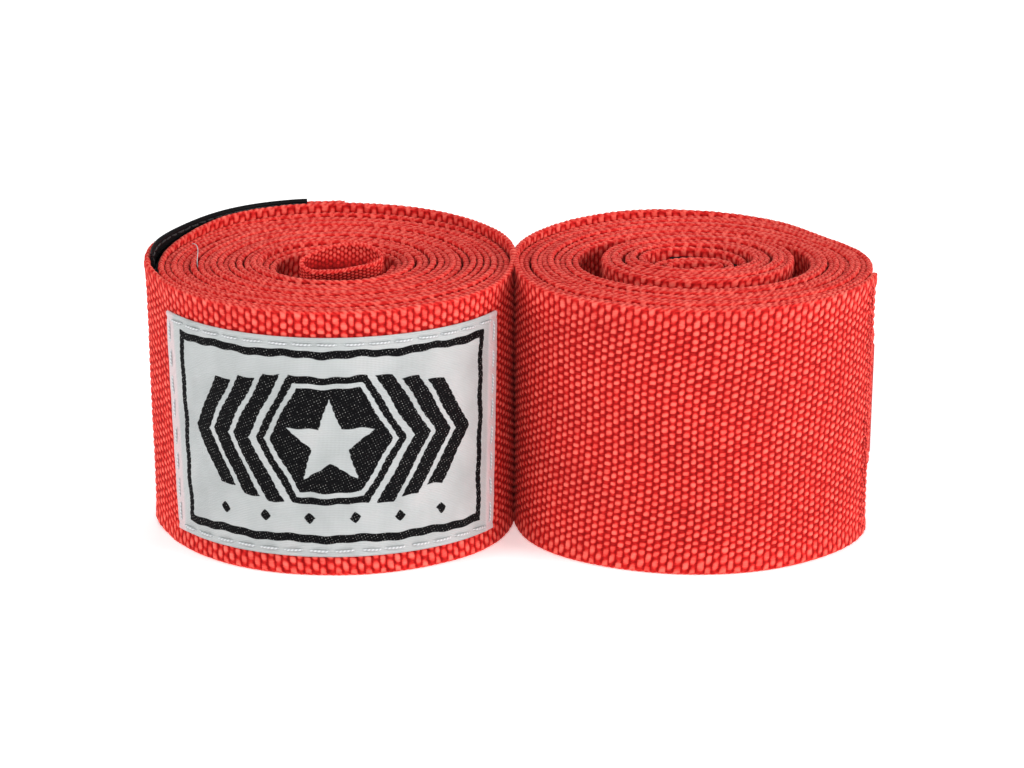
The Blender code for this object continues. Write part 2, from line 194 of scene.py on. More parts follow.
def add_light(name, place, size, power):
    data = bpy.data.lights.new(name, "AREA")
    data.shape = "RECTANGLE"
    data.size, data.size_y = size
    data.energy = power
    light = bpy.data.objects.new(name, data)
    bpy.context.scene.collection.objects.link(light)
    light.location = place
    light.rotation_euler = (LIGHT_AIM - Vector(place)).to_track_quat("-Z", "Y").to_euler()


def add_studio():
    scene = bpy.context.scene
    scene.view_settings.view_transform = "Standard"
    scene.view_settings.look = "None"
    scene.view_settings.gamma = GAMMA
    scene.world = bpy.data.worlds.new("studio")
    scene.world.use_nodes = True
    sky = scene.world.node_tree.nodes["Background"]
    sky.inputs["Color"].default_value = (1.0, 1.0, 1.0, 1.0)
    sky.inputs["Strength"].default_value = SKY
    for light in LIGHTS:
        add_light(*light)
    mesh = bpy.data.meshes.new("floor")
    corners = [(x * FLOOR_HALF, y * FLOOR_HALF, 0) for x, y in ((-1, -1), (1, -1), (1, 1), (-1, 1))]
    mesh.from_pydata(corners, [], [(0, 1, 2, 3)])
    mesh.materials.append(floor_material())
    floor = bpy.data.objects.new("floor", mesh)
    scene.collection.objects.link(floor)


# ---------------------------------------------------------------- materials

class Nodes:
    """Short calls for building one material's node tree."""

    def __init__(self, name):
        self.material = bpy.data.materials.new(name)
        self.material.use_nodes = True
        self.tree = self.material.node_tree
        self.shader = self.tree.nodes["Principled BSDF"]

    def set(self, socket, value):
        self.shader.inputs[socket].default_value = value

    def link(self, source, target):
        self.tree.links.new(source, target)

    def feed(self, socket, value):
        """A number, a colour or another node's output goes into a socket."""
        if hasattr(value, "is_output"):
            self.link(value, socket)
        else:
            socket.default_value = value

    def attribute(self, name, output="Fac"):
        node = self.tree.nodes.new("ShaderNodeAttribute")
        node.attribute_name = name
        return node.outputs[output]

    def math(self, operation, *values):
        node = self.tree.nodes.new("ShaderNodeMath")
        node.operation = operation
        for socket, value in zip(node.inputs, values):
            self.feed(socket, value)
        return node.outputs[0]

    def plus(self, first, second):
        return self.math("ADD", first, second)

    def times(self, first, second):
        return self.math("MULTIPLY", first, second)

    def wave(self, value, length, kind="SINE"):
        return self.math(kind, self.times(value, TAU / length))

    def parts(self, vector):
        node = self.tree.nodes.new("ShaderNodeSeparateXYZ")
        self.link(vector, node.inputs[0])
        return node.outputs

    def noise(self, vector, squeeze, scale=1.0, detail=2.0, roughness=0.5):
        """Noise whose features are smaller on the axes that are squeezed more."""
        squeezed = self.tree.nodes.new("ShaderNodeVectorMath")
        squeezed.operation = "MULTIPLY"
        self.link(vector, squeezed.inputs[0])
        squeezed.inputs[1].default_value = squeeze
        node = self.tree.nodes.new("ShaderNodeTexNoise")
        self.link(squeezed.outputs["Vector"], node.inputs["Vector"])
        for name, value in (("Scale", scale), ("Detail", detail), ("Roughness", roughness)):
            node.inputs[name].default_value = value
        return node.outputs["Fac"]

    def ramp(self, value, *stops):
        """A colour ramp with (position, colour) stops."""
        node = self.tree.nodes.new("ShaderNodeValToRGB")
        ramp = node.color_ramp
        while len(ramp.elements) < len(stops):
            ramp.elements.new(0.5)
        for element, (position, colour) in zip(ramp.elements, stops):
            element.position = position
            element.color = (*colour, 1.0)
        self.feed(node.inputs["Fac"], value)
        return node.outputs["Color"]

    def mix(self, share, first, second, blend="MIX"):
        node = self.tree.nodes.new("ShaderNodeMix")
        node.data_type = "RGBA"
        node.blend_type = blend
        self.feed(node.inputs[0], share)
        for socket, value in ((node.inputs[6], first), (node.inputs[7], second)):
            self.feed(socket, (*value, 1.0) if isinstance(value, tuple) else value)
        return node.outputs[2]

    def range(self, value, low, high, to_low=0.0, to_high=1.0):
        node = self.tree.nodes.new("ShaderNodeMapRange")
        for socket, number in zip(node.inputs, (value, low, high, to_low, to_high)):
            self.feed(socket, number)
        return node.outputs[0]

    def bump(self, height, distance, strength=1.0):
        node = self.tree.nodes.new("ShaderNodeBump")
        node.inputs["Distance"].default_value = distance
        node.inputs["Strength"].default_value = strength
        self.link(height, node.inputs["Height"])
        self.link(node.outputs["Normal"], self.shader.inputs["Normal"])

    def finish(self, colour):
        self.link(colour, self.shader.inputs["Base Color"])
        return self.material


def floor_material():
    nodes = Nodes("floor_paper")
    nodes.set("Roughness", 0.9)
    nodes.set("Specular IOR Level", 0.2)
    coordinate = nodes.tree.nodes.new("ShaderNodeTexCoord").outputs["Object"]
    tone = nodes.range(nodes.noise(coordinate, (1.0, 1.0, 1.0), 6.0), 0.0, 1.0, 0.90, 0.93)
    nodes.set("Emission Color", (1.0, 1.0, 1.0, 1.0))
    nodes.set("Emission Strength", FLOOR_GLOW)
    return nodes.finish(nodes.mix(1.0, tone, (1.0, 1.0, 1.0), "MULTIPLY"))


def cloth_material(name, recess_shade, middle, top, fibre=1.0):
    """Red-dyed cotton with painted shade and highlight, coloured by the relief attribute, which is 0 between
    the threads and 1 on top of them: low relief takes the painted recess shade, high relief a painted
    highlight.
    """
    nodes = Nodes(name)
    nodes.set("Roughness", 0.80)
    nodes.set("Specular IOR Level", 0.22)
    nodes.set("Sheen Weight", 0.12)
    nodes.set("Sheen Roughness", 0.40)
    nodes.set("Sheen Tint", (1.0, 0.55, 0.48, 1.0))
    place = nodes.attribute("band", "Vector")
    height = nodes.attribute("relief")
    fibres = nodes.noise(place, (0.9, 7.0, 3.0), 1.3, 2.0, 0.6)
    patches = nodes.noise(place, (0.06, 0.10, 1.0))
    threads = nodes.noise(place, (0.72, 1.36, 1.0), 1.0, 0.0)
    for uneven in (fibres, threads):
        height = nodes.plus(height, nodes.range(uneven, 0.3, 0.7, -0.10, 0.10))
    # painted shade between the threads, the plain red in the middle, and a painted highlight on the threads'
    # tops
    colour = nodes.ramp(height, (0.0, recess_shade), (0.42, middle), (1.0, top))
    shade = nodes.range(patches, 0.3, 0.7, 0.93, 1.05)
    nodes.bump(fibres, 0.08 * MM * fibre, 0.8)
    return nodes.finish(nodes.mix(1.0, colour, shade, "MULTIPLY"))


def thread_material(name, colour, painted_shade):
    """Twisted sewing thread, with painted shade in the grooves of its twist. The band attribute runs along it
    and then round it, once for every mm.
    """
    nodes = Nodes(name)
    nodes.set("Roughness", 0.55)
    nodes.set("Sheen Weight", 0.2)
    place = nodes.parts(nodes.attribute("band", "Vector"))
    twist = nodes.math("SINE", nodes.plus(nodes.times(place[0], 9.0), nodes.times(place[1], TAU)))
    share = nodes.range(twist, -1.0, 1.0)
    nodes.bump(share, 0.04 * MM, 0.7)
    # the darker colour is painted shade in the grooves of the twist
    return nodes.finish(nodes.mix(share, painted_shade, colour))


def tape_material(name, colour, lint, roughness):
    """Nylon tape, with the fine ribs of its ground, a painted highlight on their crests, and some lint caught
    on it.
    """
    nodes = Nodes(name)
    nodes.set("Roughness", roughness)
    nodes.set("Specular IOR Level", 0.14)
    place = nodes.attribute("band", "Vector")
    rib = nodes.math("SINE", nodes.times(nodes.parts(place)[1], 14.0))
    specks = nodes.noise(place, (1.6, 1.6, 1.0), 1.0, 3.0, 0.7)
    # painted highlight: the ribs' crests are painted lighter
    base = nodes.mix(nodes.range(rib, -1.0, 1.0, 0.0, 0.5), colour, tuple(2.2 * c for c in colour))
    nodes.bump(rib, 0.05 * MM, 0.6)
    return nodes.finish(nodes.mix(nodes.range(specks, 0.66, 0.74, 0.0, 0.5), base, lint))


def label_material():
    """Satin woven label. "ink" is the distance in mm to the black weave's outline, negative inside it."""
    nodes = Nodes("woven_label")
    nodes.set("Roughness", 0.60)
    nodes.set("Specular IOR Level", 0.10)
    place = nodes.attribute("band", "Vector")
    along, across, _ = nodes.parts(place)
    weft, warp = nodes.wave(across, 0.33), nodes.wave(along, 0.24)
    mottle = nodes.noise(place, (0.12, 0.10, 1.0))
    ground = nodes.ramp(mottle, (0.30, (0.44, 0.46, 0.46)), (0.55, (0.50, 0.52, 0.52)),
                        (0.75, (0.54, 0.54, 0.54)))
    # painted shade: the ground is lighter on the raised weave threads and darker between them
    lines = nodes.range(nodes.plus(weft, nodes.times(warp, 0.7)), -1.7, 1.7, 0.90, 1.05)
    ground = nodes.mix(1.0, ground, lines, "MULTIPLY")
    ground = nodes.mix(nodes.attribute("fold"), ground, (0.66, 0.54, 0.55))
    # The black weave: a grid of small pale dots where its binding threads show
    turned = nodes.plus(nodes.times(along, 0.94), nodes.times(across, 0.34))
    other = nodes.math("SUBTRACT", nodes.times(across, 0.94), nodes.times(along, 0.34))
    grid = nodes.times(nodes.wave(turned, 0.74, "COSINE"), nodes.wave(other, 0.74, "COSINE"))
    sparkle = nodes.noise(place, (1.1, 1.1, 1.0), 1.0, 1.0)
    dots = nodes.times(nodes.range(grid, 0.45, 0.95), nodes.range(sparkle, 0.30, 0.65))
    black = nodes.ramp(dots, (0.0, (0.004, 0.004, 0.005)), (0.35, (0.018, 0.018, 0.019)),
                       (1.0, (0.34, 0.34, 0.32)))
    share = nodes.range(nodes.attribute("ink"), 0.06, -0.06)
    weave = nodes.plus(nodes.times(weft, 0.5), nodes.times(warp, 0.35))
    ribs = nodes.times(nodes.math("SUBTRACT", grid, weave), share)
    nodes.bump(nodes.plus(weave, ribs), 0.05 * MM, 0.7)
    return nodes.finish(nodes.mix(share, ground, black))


def make_materials():
    return {
        # cloth and strap: painted shade in the recesses, the middle red, and a painted highlight on the
        # threads' tops
        "cloth": cloth_material("band_cotton", (0.30, 0.0015, 0.0020), (0.64, 0.022, 0.019),
                                (0.90, 0.200, 0.155)),
        "strap": cloth_material("strap_cotton", (0.26, 0.0015, 0.002), (0.68, 0.024, 0.020),
                                (0.96, 0.19, 0.15), 1.4),
        "hooks": tape_material("hook_nylon", (0.007, 0.007, 0.008), (0.22, 0.04, 0.03), 0.45),
        "loops": tape_material("loop_nylon", (0.009, 0.008, 0.009), (0.25, 0.04, 0.03), 0.85),
        "label": label_material(),
        # each thread's second colour is painted shade in the grooves of its twist
        "white": thread_material("white_thread", (0.66, 0.68, 0.69), (0.44, 0.46, 0.47)),
        "red": thread_material("red_thread", (0.78, 0.06, 0.045), (0.40, 0.01, 0.01)),
        "black": thread_material("black_thread", (0.020, 0.020, 0.022), (0.006, 0.006, 0.007)),
    }


# ---------------------------------------------------------------- spirals

def smooth_step(value, start, end):
    """0 up to the start, 1 from the end, and a smooth rise between them."""
    share = np.clip((np.asarray(value, float) - start) / (end - start), 0.0, 1.0)
    return share * share * (3 - 2 * share)


def chance(*keys):
    """A number from 0 to 1 that looks random but is always the same for the same keys."""
    total = sum(np.asarray(key, float) * factor for key, factor in zip(keys, (12.9898, 78.233, 37.719)))
    value = np.sin(total) * 43758.5453
    return value - np.floor(value)


class Spiral:
    """The middle line of a wound band, seen from above. A turn of 0 is its inner end."""

    def __init__(self, axis, turns, end_angle, direction, radius, climb, stretch, pressed=(),
                 wobble=0.0, seed=0.0, slant=0.03, taper=(0.0, 0.0), taper_centre=(0.0, 0.0), lift=None):
        self.axis, self.turns, self.end_angle, self.direction = axis, turns, end_angle, direction
        self.radius, self.climb = radius, climb  # functions of the turn
        self.lift = lift or (lambda x, y: 0.0 * x)
        self.stretch, self.pressed, self.wobble, self.seed = stretch, pressed, wobble, seed
        self.slant, self.taper, self.taper_centre = slant, taper, taper_centre
        self.inner = float(radius(0.0))
        self.outer = float(radius(turns))
        self.table = np.arange(0.0, turns + 0.01, 0.002)
        x, y = self.point(self.table)
        self.lengths = np.concatenate([[0.0], np.cumsum(np.hypot(np.diff(x), np.diff(y)))])

    def angle(self, turn):
        return self.end_angle + self.direction * TAU * (turn - self.turns)

    def turn_at(self, angle, layer=0):
        """The turn whose angle this is, counting whole layers inward from the outer end."""
        return self.turns - ((self.end_angle - angle) * self.direction / TAU) % 1.0 - layer

    def turn_of(self, length):
        return np.interp(length, self.lengths, self.table)

    def length_of(self, turn):
        return float(np.interp(turn, self.table, self.lengths))

    def point(self, turn):
        turn = np.asarray(turn, float)
        angle = self.angle(turn)
        radius = self.radius(turn)
        share = (radius - self.inner) / (self.outer - self.inner)
        wide = self.stretch[0] + (self.stretch[1] - self.stretch[0]) * share
        for middle, spread, depth in self.pressed:
            off = (np.degrees(angle) - middle + 180) % 360 - 180
            radius = radius - depth * np.exp(-((off / spread) ** 2)) * share
        # Hand-wound turns crowd together in places and stand apart in others.
        loose = smooth_step(turn, 0.6, 1.8) * (1 - smooth_step(turn, self.turns - 2.4, self.turns - 1.3))
        uneven = (0.5 * np.sin(2 * angle + 0.9 * turn + self.seed)
                  + 0.3 * np.sin(3 * angle - 1.7 * turn + 2 * self.seed)
                  + 0.25 * np.sin(angle + 2.6 * turn + 3 * self.seed))
        radius = radius + self.wobble * loose * uneven
        return self.axis[0] + (radius + wide) * np.cos(angle), self.axis[1] + radius * np.sin(angle)

    def frame_at(self, turn):
        """Points, unit outward normals and unit tangents towards the outer end."""
        x, y = self.point(turn)
        x0, y0 = self.point(np.asarray(turn) - 0.004)
        x1, y1 = self.point(np.asarray(turn) + 0.004)
        tx, ty = x1 - x0, y1 - y0
        size = np.hypot(tx, ty)
        tx, ty = tx / size, ty / size
        return x, y, ty * self.direction, -tx * self.direction, tx, ty


def left_spiral():
    flap_turns = (LEFT_HINGE_ANGLE - LEFT_END_ANGLE) / TAU
    pitch = (LEFT_HINGE_RADIUS - LEFT_INNER) / LEFT_TURNS_TO_HINGE

    def radius(turn):
        past_hinge = (turn - LEFT_TURNS_TO_HINGE) / flap_turns
        lift = FLAP_LIFT * smooth_step(past_hinge, 0.02, 0.16)
        lift = lift - (FLAP_LIFT - FLAP_END_LIFT) * smooth_step(past_hinge, 0.86, 0.96)
        return LEFT_INNER + pitch * turn + lift

    def climb(turn):
        """The outermost turns climb behind the roll, and the flap stands highest."""
        outermost = turn - (LEFT_TURNS_TO_HINGE - 1)
        before = outermost + 1
        climb = smooth_step(outermost, 0.03, 0.22) - smooth_step(outermost, 0.50, 0.64)
        climb = climb + 0.40 * (smooth_step(before, 0.05, 0.30) - smooth_step(before, 0.42, 0.62))
        climb = climb + smooth_step(turn, LEFT_TURNS_TO_HINGE, LEFT_TURNS_TO_HINGE + 0.09)
        return FLAP_RISE * climb - LEFT_SUNK * (1 - smooth_step(turn, 0.2, 2.6))

    return Spiral(LEFT_AXIS, LEFT_TURNS_TO_HINGE + flap_turns, LEFT_END_ANGLE, -1, radius, climb,
                  LEFT_STRETCH, LEFT_PRESSED, LEFT_WOBBLE, seed=1.3, taper=LEFT_TAPER,
                  taper_centre=LEFT_TAPER_CENTRE)


def right_core_spiral():
    over_tape = RIGHT_LOOP_TAPE_TURNS[0] + 1

    def radius(turn):
        plain_turns = np.maximum(turn - RIGHT_FOLD_TURNS, 0.0)
        total = RIGHT_CORE_INNER + RIGHT_CORE_PITCH * plain_turns
        total = total - RIGHT_FOLD_PITCH * np.maximum(RIGHT_FOLD_TURNS - turn, 0.0)
        start = RIGHT_FOLD_TURNS
        for stop, pitch in RIGHT_CLOSURE:
            total = total + (pitch - RIGHT_CORE_PITCH) * (np.clip(turn, start, stop) - start)
            start = stop
        return total + RIGHT_LOOP_TAPE_LIFT * smooth_step(turn, over_tape - 0.15, over_tape - 0.05)

    after_closure = RIGHT_CLOSURE[-1][0]
    plain = RIGHT_CORE_OUTER - RIGHT_LOOP_TAPE_LIFT - float(radius(after_closure))
    turns = after_closure + plain / RIGHT_CORE_PITCH

    def climb(turn):
        """The innermost turns have slipped down into the roll."""
        return -RIGHT_SUNK * (1 - smooth_step(turn, *RIGHT_SUNK_TURNS))

    def lift(x, y):
        """How far the middle is pushed up out of the roll, most at its front."""
        return RIGHT_CORE_RISE * (0.5 - 0.5 * (y - RIGHT_AXIS[1]) / RIGHT_CORE_OUTER)

    return Spiral(RIGHT_AXIS, turns, RIGHT_CORE_END_ANGLE, 1, radius, climb, RIGHT_CORE_STRETCH, lift=lift)


def right_coil_spiral():
    end_turns = (RIGHT_END_ANGLE - RIGHT_HINGE_ANGLE) / TAU
    pitch = (RIGHT_HINGE_RADIUS - RIGHT_COIL_INNER) / RIGHT_COIL_TURNS

    def radius(turn):
        lift = END_LIFT * smooth_step((turn - RIGHT_COIL_TURNS) / end_turns, 0.05, 0.6)
        return RIGHT_COIL_INNER + pitch * turn + lift

    def climb(turn):
        around = np.degrees(RIGHT_END_ANGLE + TAU * (turn - RIGHT_COIL_TURNS - end_turns)) % 360
        outermost = smooth_step(turn, RIGHT_COIL_TURNS - 1.2, RIGHT_COIL_TURNS - 0.9)
        behind = smooth_step(around, 60, 115) - smooth_step(around, 165, 215)
        return RIGHT_COIL_CLIMB * outermost * behind

    return Spiral(RIGHT_AXIS, RIGHT_COIL_TURNS + end_turns, RIGHT_END_ANGLE, 1, radius, climb, RIGHT_STRETCH,
                  RIGHT_PRESSED, RIGHT_WOBBLE, 4.1, RIGHT_SLANT, RIGHT_TAPER, RIGHT_TAPER_CENTRE)


# ---------------------------------------------------------------- meshes

MATERIALS = {}


class Mesher:
    """Collects grids and tubes, then makes one mesh object of them."""

    def __init__(self):
        self.points, self.relief, self.band = [], [], []
        self.more = {}
        self.corners, self.sizes = [], []
        self.count = 0

    def add(self, points, faces, relief, band, **more):
        """Adds vertices, and faces as arrays of vertex numbers with one row for each face."""
        self.points.append(points.reshape(-1, 3))
        self.relief.append(np.broadcast_to(relief, points.shape[:-1]).ravel())
        self.band.append(band.reshape(-1, 3))
        for name, values in more.items():
            self.more.setdefault(name, []).append(values.ravel())
        for block in faces:
            self.corners.append(block.ravel() + self.count)
            self.sizes.append(np.full(len(block), block.shape[1]))
        self.count += points[..., 0].size

    def tube(self, points, relief, band, joined=False, **more):
        """A grid of (column, ring place) vertices, closed round the ring. Its ends are joined or capped."""
        columns, ring = points.shape[:2]
        number = np.arange(columns * ring).reshape(columns, ring)
        grid = np.concatenate([number, number[:1]]) if joined else number
        grid = np.concatenate([grid, grid[:, :1]], axis=1)
        quads = np.stack([grid[:-1, :-1], grid[1:, :-1], grid[1:, 1:], grid[:-1, 1:]], axis=-1)
        caps = [] if joined else [number[:1, :], number[-1:, ::-1]]
        self.add(points, [quads.reshape(-1, 4), *caps], relief, band, **more)

    def make(self, name, material):
        mesh = bpy.data.meshes.new(name)
        corners = np.concatenate(self.corners).astype(np.int32)
        sizes = np.concatenate(self.sizes)
        starts = np.concatenate([[0], np.cumsum(sizes)[:-1]]).astype(np.int32)
        mesh.vertices.add(self.count)
        mesh.vertices.foreach_set("co", np.concatenate(self.points).astype(np.float32).ravel())
        mesh.loops.add(len(corners))
        mesh.loops.foreach_set("vertex_index", corners)
        mesh.polygons.add(len(sizes))
        mesh.polygons.foreach_set("loop_start", starts)
        mesh.update(calc_edges=True)
        mesh.validate()
        for key, values in {"relief": self.relief, **self.more}.items():
            attribute = mesh.attributes.new(key, "FLOAT", "POINT")
            attribute.data.foreach_set("value", np.concatenate(values).astype(np.float32))
        band = mesh.attributes.new("band", "FLOAT_VECTOR", "POINT")
        band.data.foreach_set("vector", (np.concatenate(self.band) / MM).astype(np.float32).ravel())
        mesh.shade_smooth()
        mesh.set_sharp_from_angle(angle=SHARP)
        mesh.materials.append(MATERIALS[material])
        piece = bpy.data.objects.new(name, mesh)
        bpy.context.scene.collection.objects.link(piece)
        return piece

    def fit(self, name, material, body, node=None):
        """Makes the piece, and puts it on its body in place of a CAD node."""
        piece = self.make(name, material)
        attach(piece, body)
        if node:
            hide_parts(node)
        return piece


# ---------------------------------------------------------------- the weave

def end_height():
    """The height of each warp thread's middle above the band's lower edge, as a table."""
    steps = np.arange(0.0, ENDS + 0.01, 0.05)
    spread = 1 + EDGE_WIDER * (1 - smooth_step(steps, EDGE_ENDS - 1, EDGE_ENDS))
    spread = spread + EDGE_WIDER * smooth_step(steps, ENDS - EDGE_ENDS, ENDS - EDGE_ENDS + 1)
    height = np.concatenate([[0.0], np.cumsum((spread[1:] + spread[:-1]) / 2)])
    return steps, EDGE_ROUND + height / height[-1] * (BAND_WIDTH - 2 * EDGE_ROUND)


END_STEPS, END_HEIGHTS = end_height()


def bead_relief(pick, end):
    """The relief of the woven face, from 0 between beads to 1 on top of one, at a pick and a warp end."""
    column = np.round(pick)
    row = column + 2 * np.round((end - column) / 2)
    first, second, third = chance(column, row), chance(row + 17, column - 5), chance(column + 3, row + 41)
    skew = (0.22 + 0.5 * (third - 0.5)) * (pick - column)
    near_edge = 1 - smooth_step(np.minimum(end, ENDS - end), 2.0, 4.0)
    reach = BEAD_HALF[1] * (0.86 + 0.24 * second) + (0.86 - BEAD_HALF[1]) * near_edge
    across = np.abs(end - row - skew - 0.22 * (first - 0.5) * (1 - near_edge)) / reach
    along = np.abs(pick - column) / BEAD_HALF[0]
    dome = np.clip(1 - along ** 3.2 - across ** 2.6, 0.0, 1.0) ** 0.55 * (0.78 + 0.22 * first)
    float_under = 0.30 * np.cos(math.pi * (pick - column)) ** 2 * np.clip(np.abs(end - row), 0, 1) ** 2
    return np.maximum(dome, float_under)


def braid_relief(pick, across):
    """The relief of the selvedge's looped weft threads. across runs from -1, inside, to 1, outside."""
    lean = 0.62 * np.abs(across - 0.12) + 0.10 * np.sin(0.7 * pick) + 0.16 * across
    strand = np.abs(np.cos(math.pi * (pick + lean)))
    size = 0.72 + 0.28 * chance(np.round(pick + lean - 0.5), np.sign(across))
    return (0.12 + 0.88 * strand ** 0.8) * size


class Rows:
    """A strip's cross-section as a ring of vertices: up its outer face, over, and down its inner face."""

    def __init__(self, outer, inner, top=8, ends=ENDS):
        rows = [(end, 1.0, 0.0) for end in outer]
        rows += [(ends, math.cos(a), math.sin(a)) for a in np.linspace(0, math.pi, top + 2)[1:-1]]
        rows += [(end, -1.0, 0.0) for end in inner[::-1]]
        rows += [(0.0, math.cos(a), math.sin(a)) for a in np.linspace(-math.pi, 0, 5)[1:-1]]
        self.end, self.across, self.up = (np.array(column, float) for column in zip(*rows))
        gap_before = np.abs(self.end - np.roll(self.end, 1))
        gap_after = np.abs(self.end - np.roll(self.end, -1))
        self.coarse = (gap_before > 1.1) & (gap_after > 1.1)


def ends_from(low, high, step):
    return list(np.arange(low, high + 1e-6, step))


# Which rows of vertices a face has: the beads need fine ones, and what nobody sees has almost none.
FINE = ends_from(0, ENDS, 1 / 3)
TOP_ONLY = [0.0, 20.0, 42.0, 57.0] + ends_from(59, ENDS, 0.5)
TOP_QUARTER = [0.0, 20.0, 36.0] + ends_from(42, ENDS, 1 / 3)
AROUND_LABEL = ends_from(0, 6, 1 / 3) + [20.0, 40.0] + ends_from(56, ENDS, 1 / 3)
INNER_TURN = Rows(TOP_QUARTER, TOP_QUARTER)
HIDDEN_TURN = Rows(TOP_ONLY, TOP_ONLY)
OUTER_TURN = Rows(FINE, TOP_ONLY)
UNDER_LABEL = Rows(AROUND_LABEL, TOP_ONLY)
FREE_END = Rows(FINE, ends_from(0, ENDS, 0.5))


def climbed(z, line, turn):
    """Moves a height up with a turn that climbs, or squeezes it down where the turn has slipped lower."""
    climb = line.climb(turn)
    return z + np.where(climb > 0, climb, climb * np.clip(z / BAND_WIDTH, 0.0, 1.1))


def tapered(points, line):
    """Draws points in towards the line's taper centre, more the lower they are."""
    low = 1 - np.clip(points[..., 2] / BAND_WIDTH, 0.0, 1.0)
    moved = points.copy()
    for side in (0, 1):
        middle = line.taper_centre[side]
        moved[..., side] = middle + (points[..., side] - middle) * (1 - line.taper[side] * low)
    return moved


def taper_on(line):
    """The same as a function of separate coordinates."""
    return lambda x, y, z: np.moveaxis(tapered(np.stack([x, y, z], axis=-1), line), -1, 0)


def weave(mesher, line, first, last, rows, per_pick=6, uneven=0.35 * MM):
    """Adds a stretch of woven band, from one turn to another, with this cross-section."""
    start, stop = line.length_of(first), line.length_of(last)
    step = PICK / per_pick
    inside = np.arange(math.floor(start / step) + 1, math.ceil(stop / step)) * step
    inside = inside[(inside > start + 0.3 * step) & (inside < stop - 0.3 * step)]
    lengths = np.concatenate([[start], inside, [stop]])
    turns = line.turn_of(lengths)
    x, y, nx, ny, tx, ty = (v[:, None] for v in line.frame_at(turns))
    far, pick = lengths[:, None], (lengths / PICK)[:, None]
    end, across, up = rows.end, rows.across, rows.up
    height = np.interp(end, END_STEPS, END_HEIGHTS)
    near_edge = 1 - smooth_step(np.minimum(end, ENDS - end), 0.0, 2.5)
    half = GROUND + (EDGE_GROUND - GROUND) * near_edge
    beads = np.where(rows.coarse, COARSE_RELIEF, bead_relief(pick, end))
    edge_share = np.abs(up)
    relief = beads * (1 - edge_share) + braid_relief(pick, across) * edge_share
    face_height = BEAD_HEIGHT - EDGE_FLATTER * near_edge
    out = (face_height * (1 - edge_share) + BRAID_HEIGHT * edge_share) * relief - BEAD_FLOOR
    # The cloth is never quite flat, and its weft threads are neither straight nor evenly spaced. In each
    # term the first number is its size, and those that divide are its wavelengths over TAU.
    buckle = 0.09 * MM * (np.sin(far / (5.1 * MM) + height / (9 * MM))
                          * np.sin(height / (7.7 * MM) - far / (31 * MM)))
    lean = (0.75 * MM * np.sin(height / (17 * MM) + far / (38 * MM)) * np.sin(far / (53 * MM) + 1.0)
            + 0.22 * MM * np.sin(height / (5.3 * MM) + far / (11 * MM))
            + 0.06 * MM * np.sin(2.3 * pick) + 0.04 * MM * np.sin(3.9 * pick + height / (6 * MM))
            + line.slant * (height - BAND_WIDTH / 2))
    lean = lean * smooth_step(np.minimum(far, line.lengths[-1] - far), 0.0, 8 * MM)
    normal = half * across + out * across / np.hypot(across, up) + buckle
    wave = (0.6 * np.sin(2.1 * turns + line.seed) + 0.4 * np.sin(5.3 * turns + 2 * line.seed))[:, None]
    share = height / BAND_WIDTH
    tall = uneven * (wave * share + 0.45 * (1 + wave) * (1 - share))
    dip = 0.10 * MM * (np.sin(far / (3.9 * MM)) * np.sin(height / (6.1 * MM) + far / (17 * MM)))
    z = height + (EDGE_ROUND + out) * up + tall + dip * (1 - edge_share)
    z = climbed(np.maximum(z, 0.0), line, turns[:, None]) + line.lift(x, y)
    points = np.stack([x + nx * normal + tx * lean, y + ny * normal + ty * lean, z], axis=-1)
    band = np.stack([far + 0 * z, height + 0 * z, (across + 0 * z) * MM], axis=-1)
    mesher.tube(tapered(points, line), relief, band)


def cloth(name, line, *stretches, **options):
    """One piece of band. A stretch is its first and last turn, its rows, and how many columns a pick has."""
    mesher = Mesher()
    for stretch in stretches:
        weave(mesher, line, *stretch, **options)
    return mesher.make(name, "cloth")


def build_left_cloth():
    line = LEFT
    hinge = line.turn_at(FLAP_BEND_ANGLES[0])
    core_end, coil_start = LEFT_CORE_TURNS - CORE_GAP / 2, LEFT_CORE_TURNS + CORE_GAP / 2
    core_last = LEFT_CORE_TURNS - 1
    exposed = LEFT_TURNS_TO_HINGE - 1
    label_start, label_end = (line.turn_at(angle) for angle in LABEL_ANGLES)
    label_start, label_end = label_start + LABEL_OVERLAP, label_end - LABEL_OVERLAP
    core = cloth("left_core_cloth", line, (0.0, 1.0, INNER_TURN), (1.0, core_last, HIDDEN_TURN, 4),
                 (core_last, core_end, INNER_TURN))
    coil = cloth("left_coil_cloth", line, (coil_start, exposed, HIDDEN_TURN, 4),
                 (exposed, label_start, OUTER_TURN), (label_start, label_end, UNDER_LABEL),
                 (label_end, hinge, OUTER_TURN))
    flap = cloth("left_flap_cloth", line, (hinge, line.turns, FREE_END), uneven=0.15 * MM)
    bend(flap, line, FLAP_BEND_ANGLES)
    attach(core, "left_core")
    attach(coil, "left_coil")
    for piece, node, first, last in ((core, "left_band_core", 0.0, LEFT_CORE_TURNS),
                                     (coil, "left_band_coil", LEFT_CORE_TURNS, hinge),
                                     (flap, "left_closure_flap", hinge, line.turns)):
        declare_band(node, line.length_of(last) - line.length_of(first))


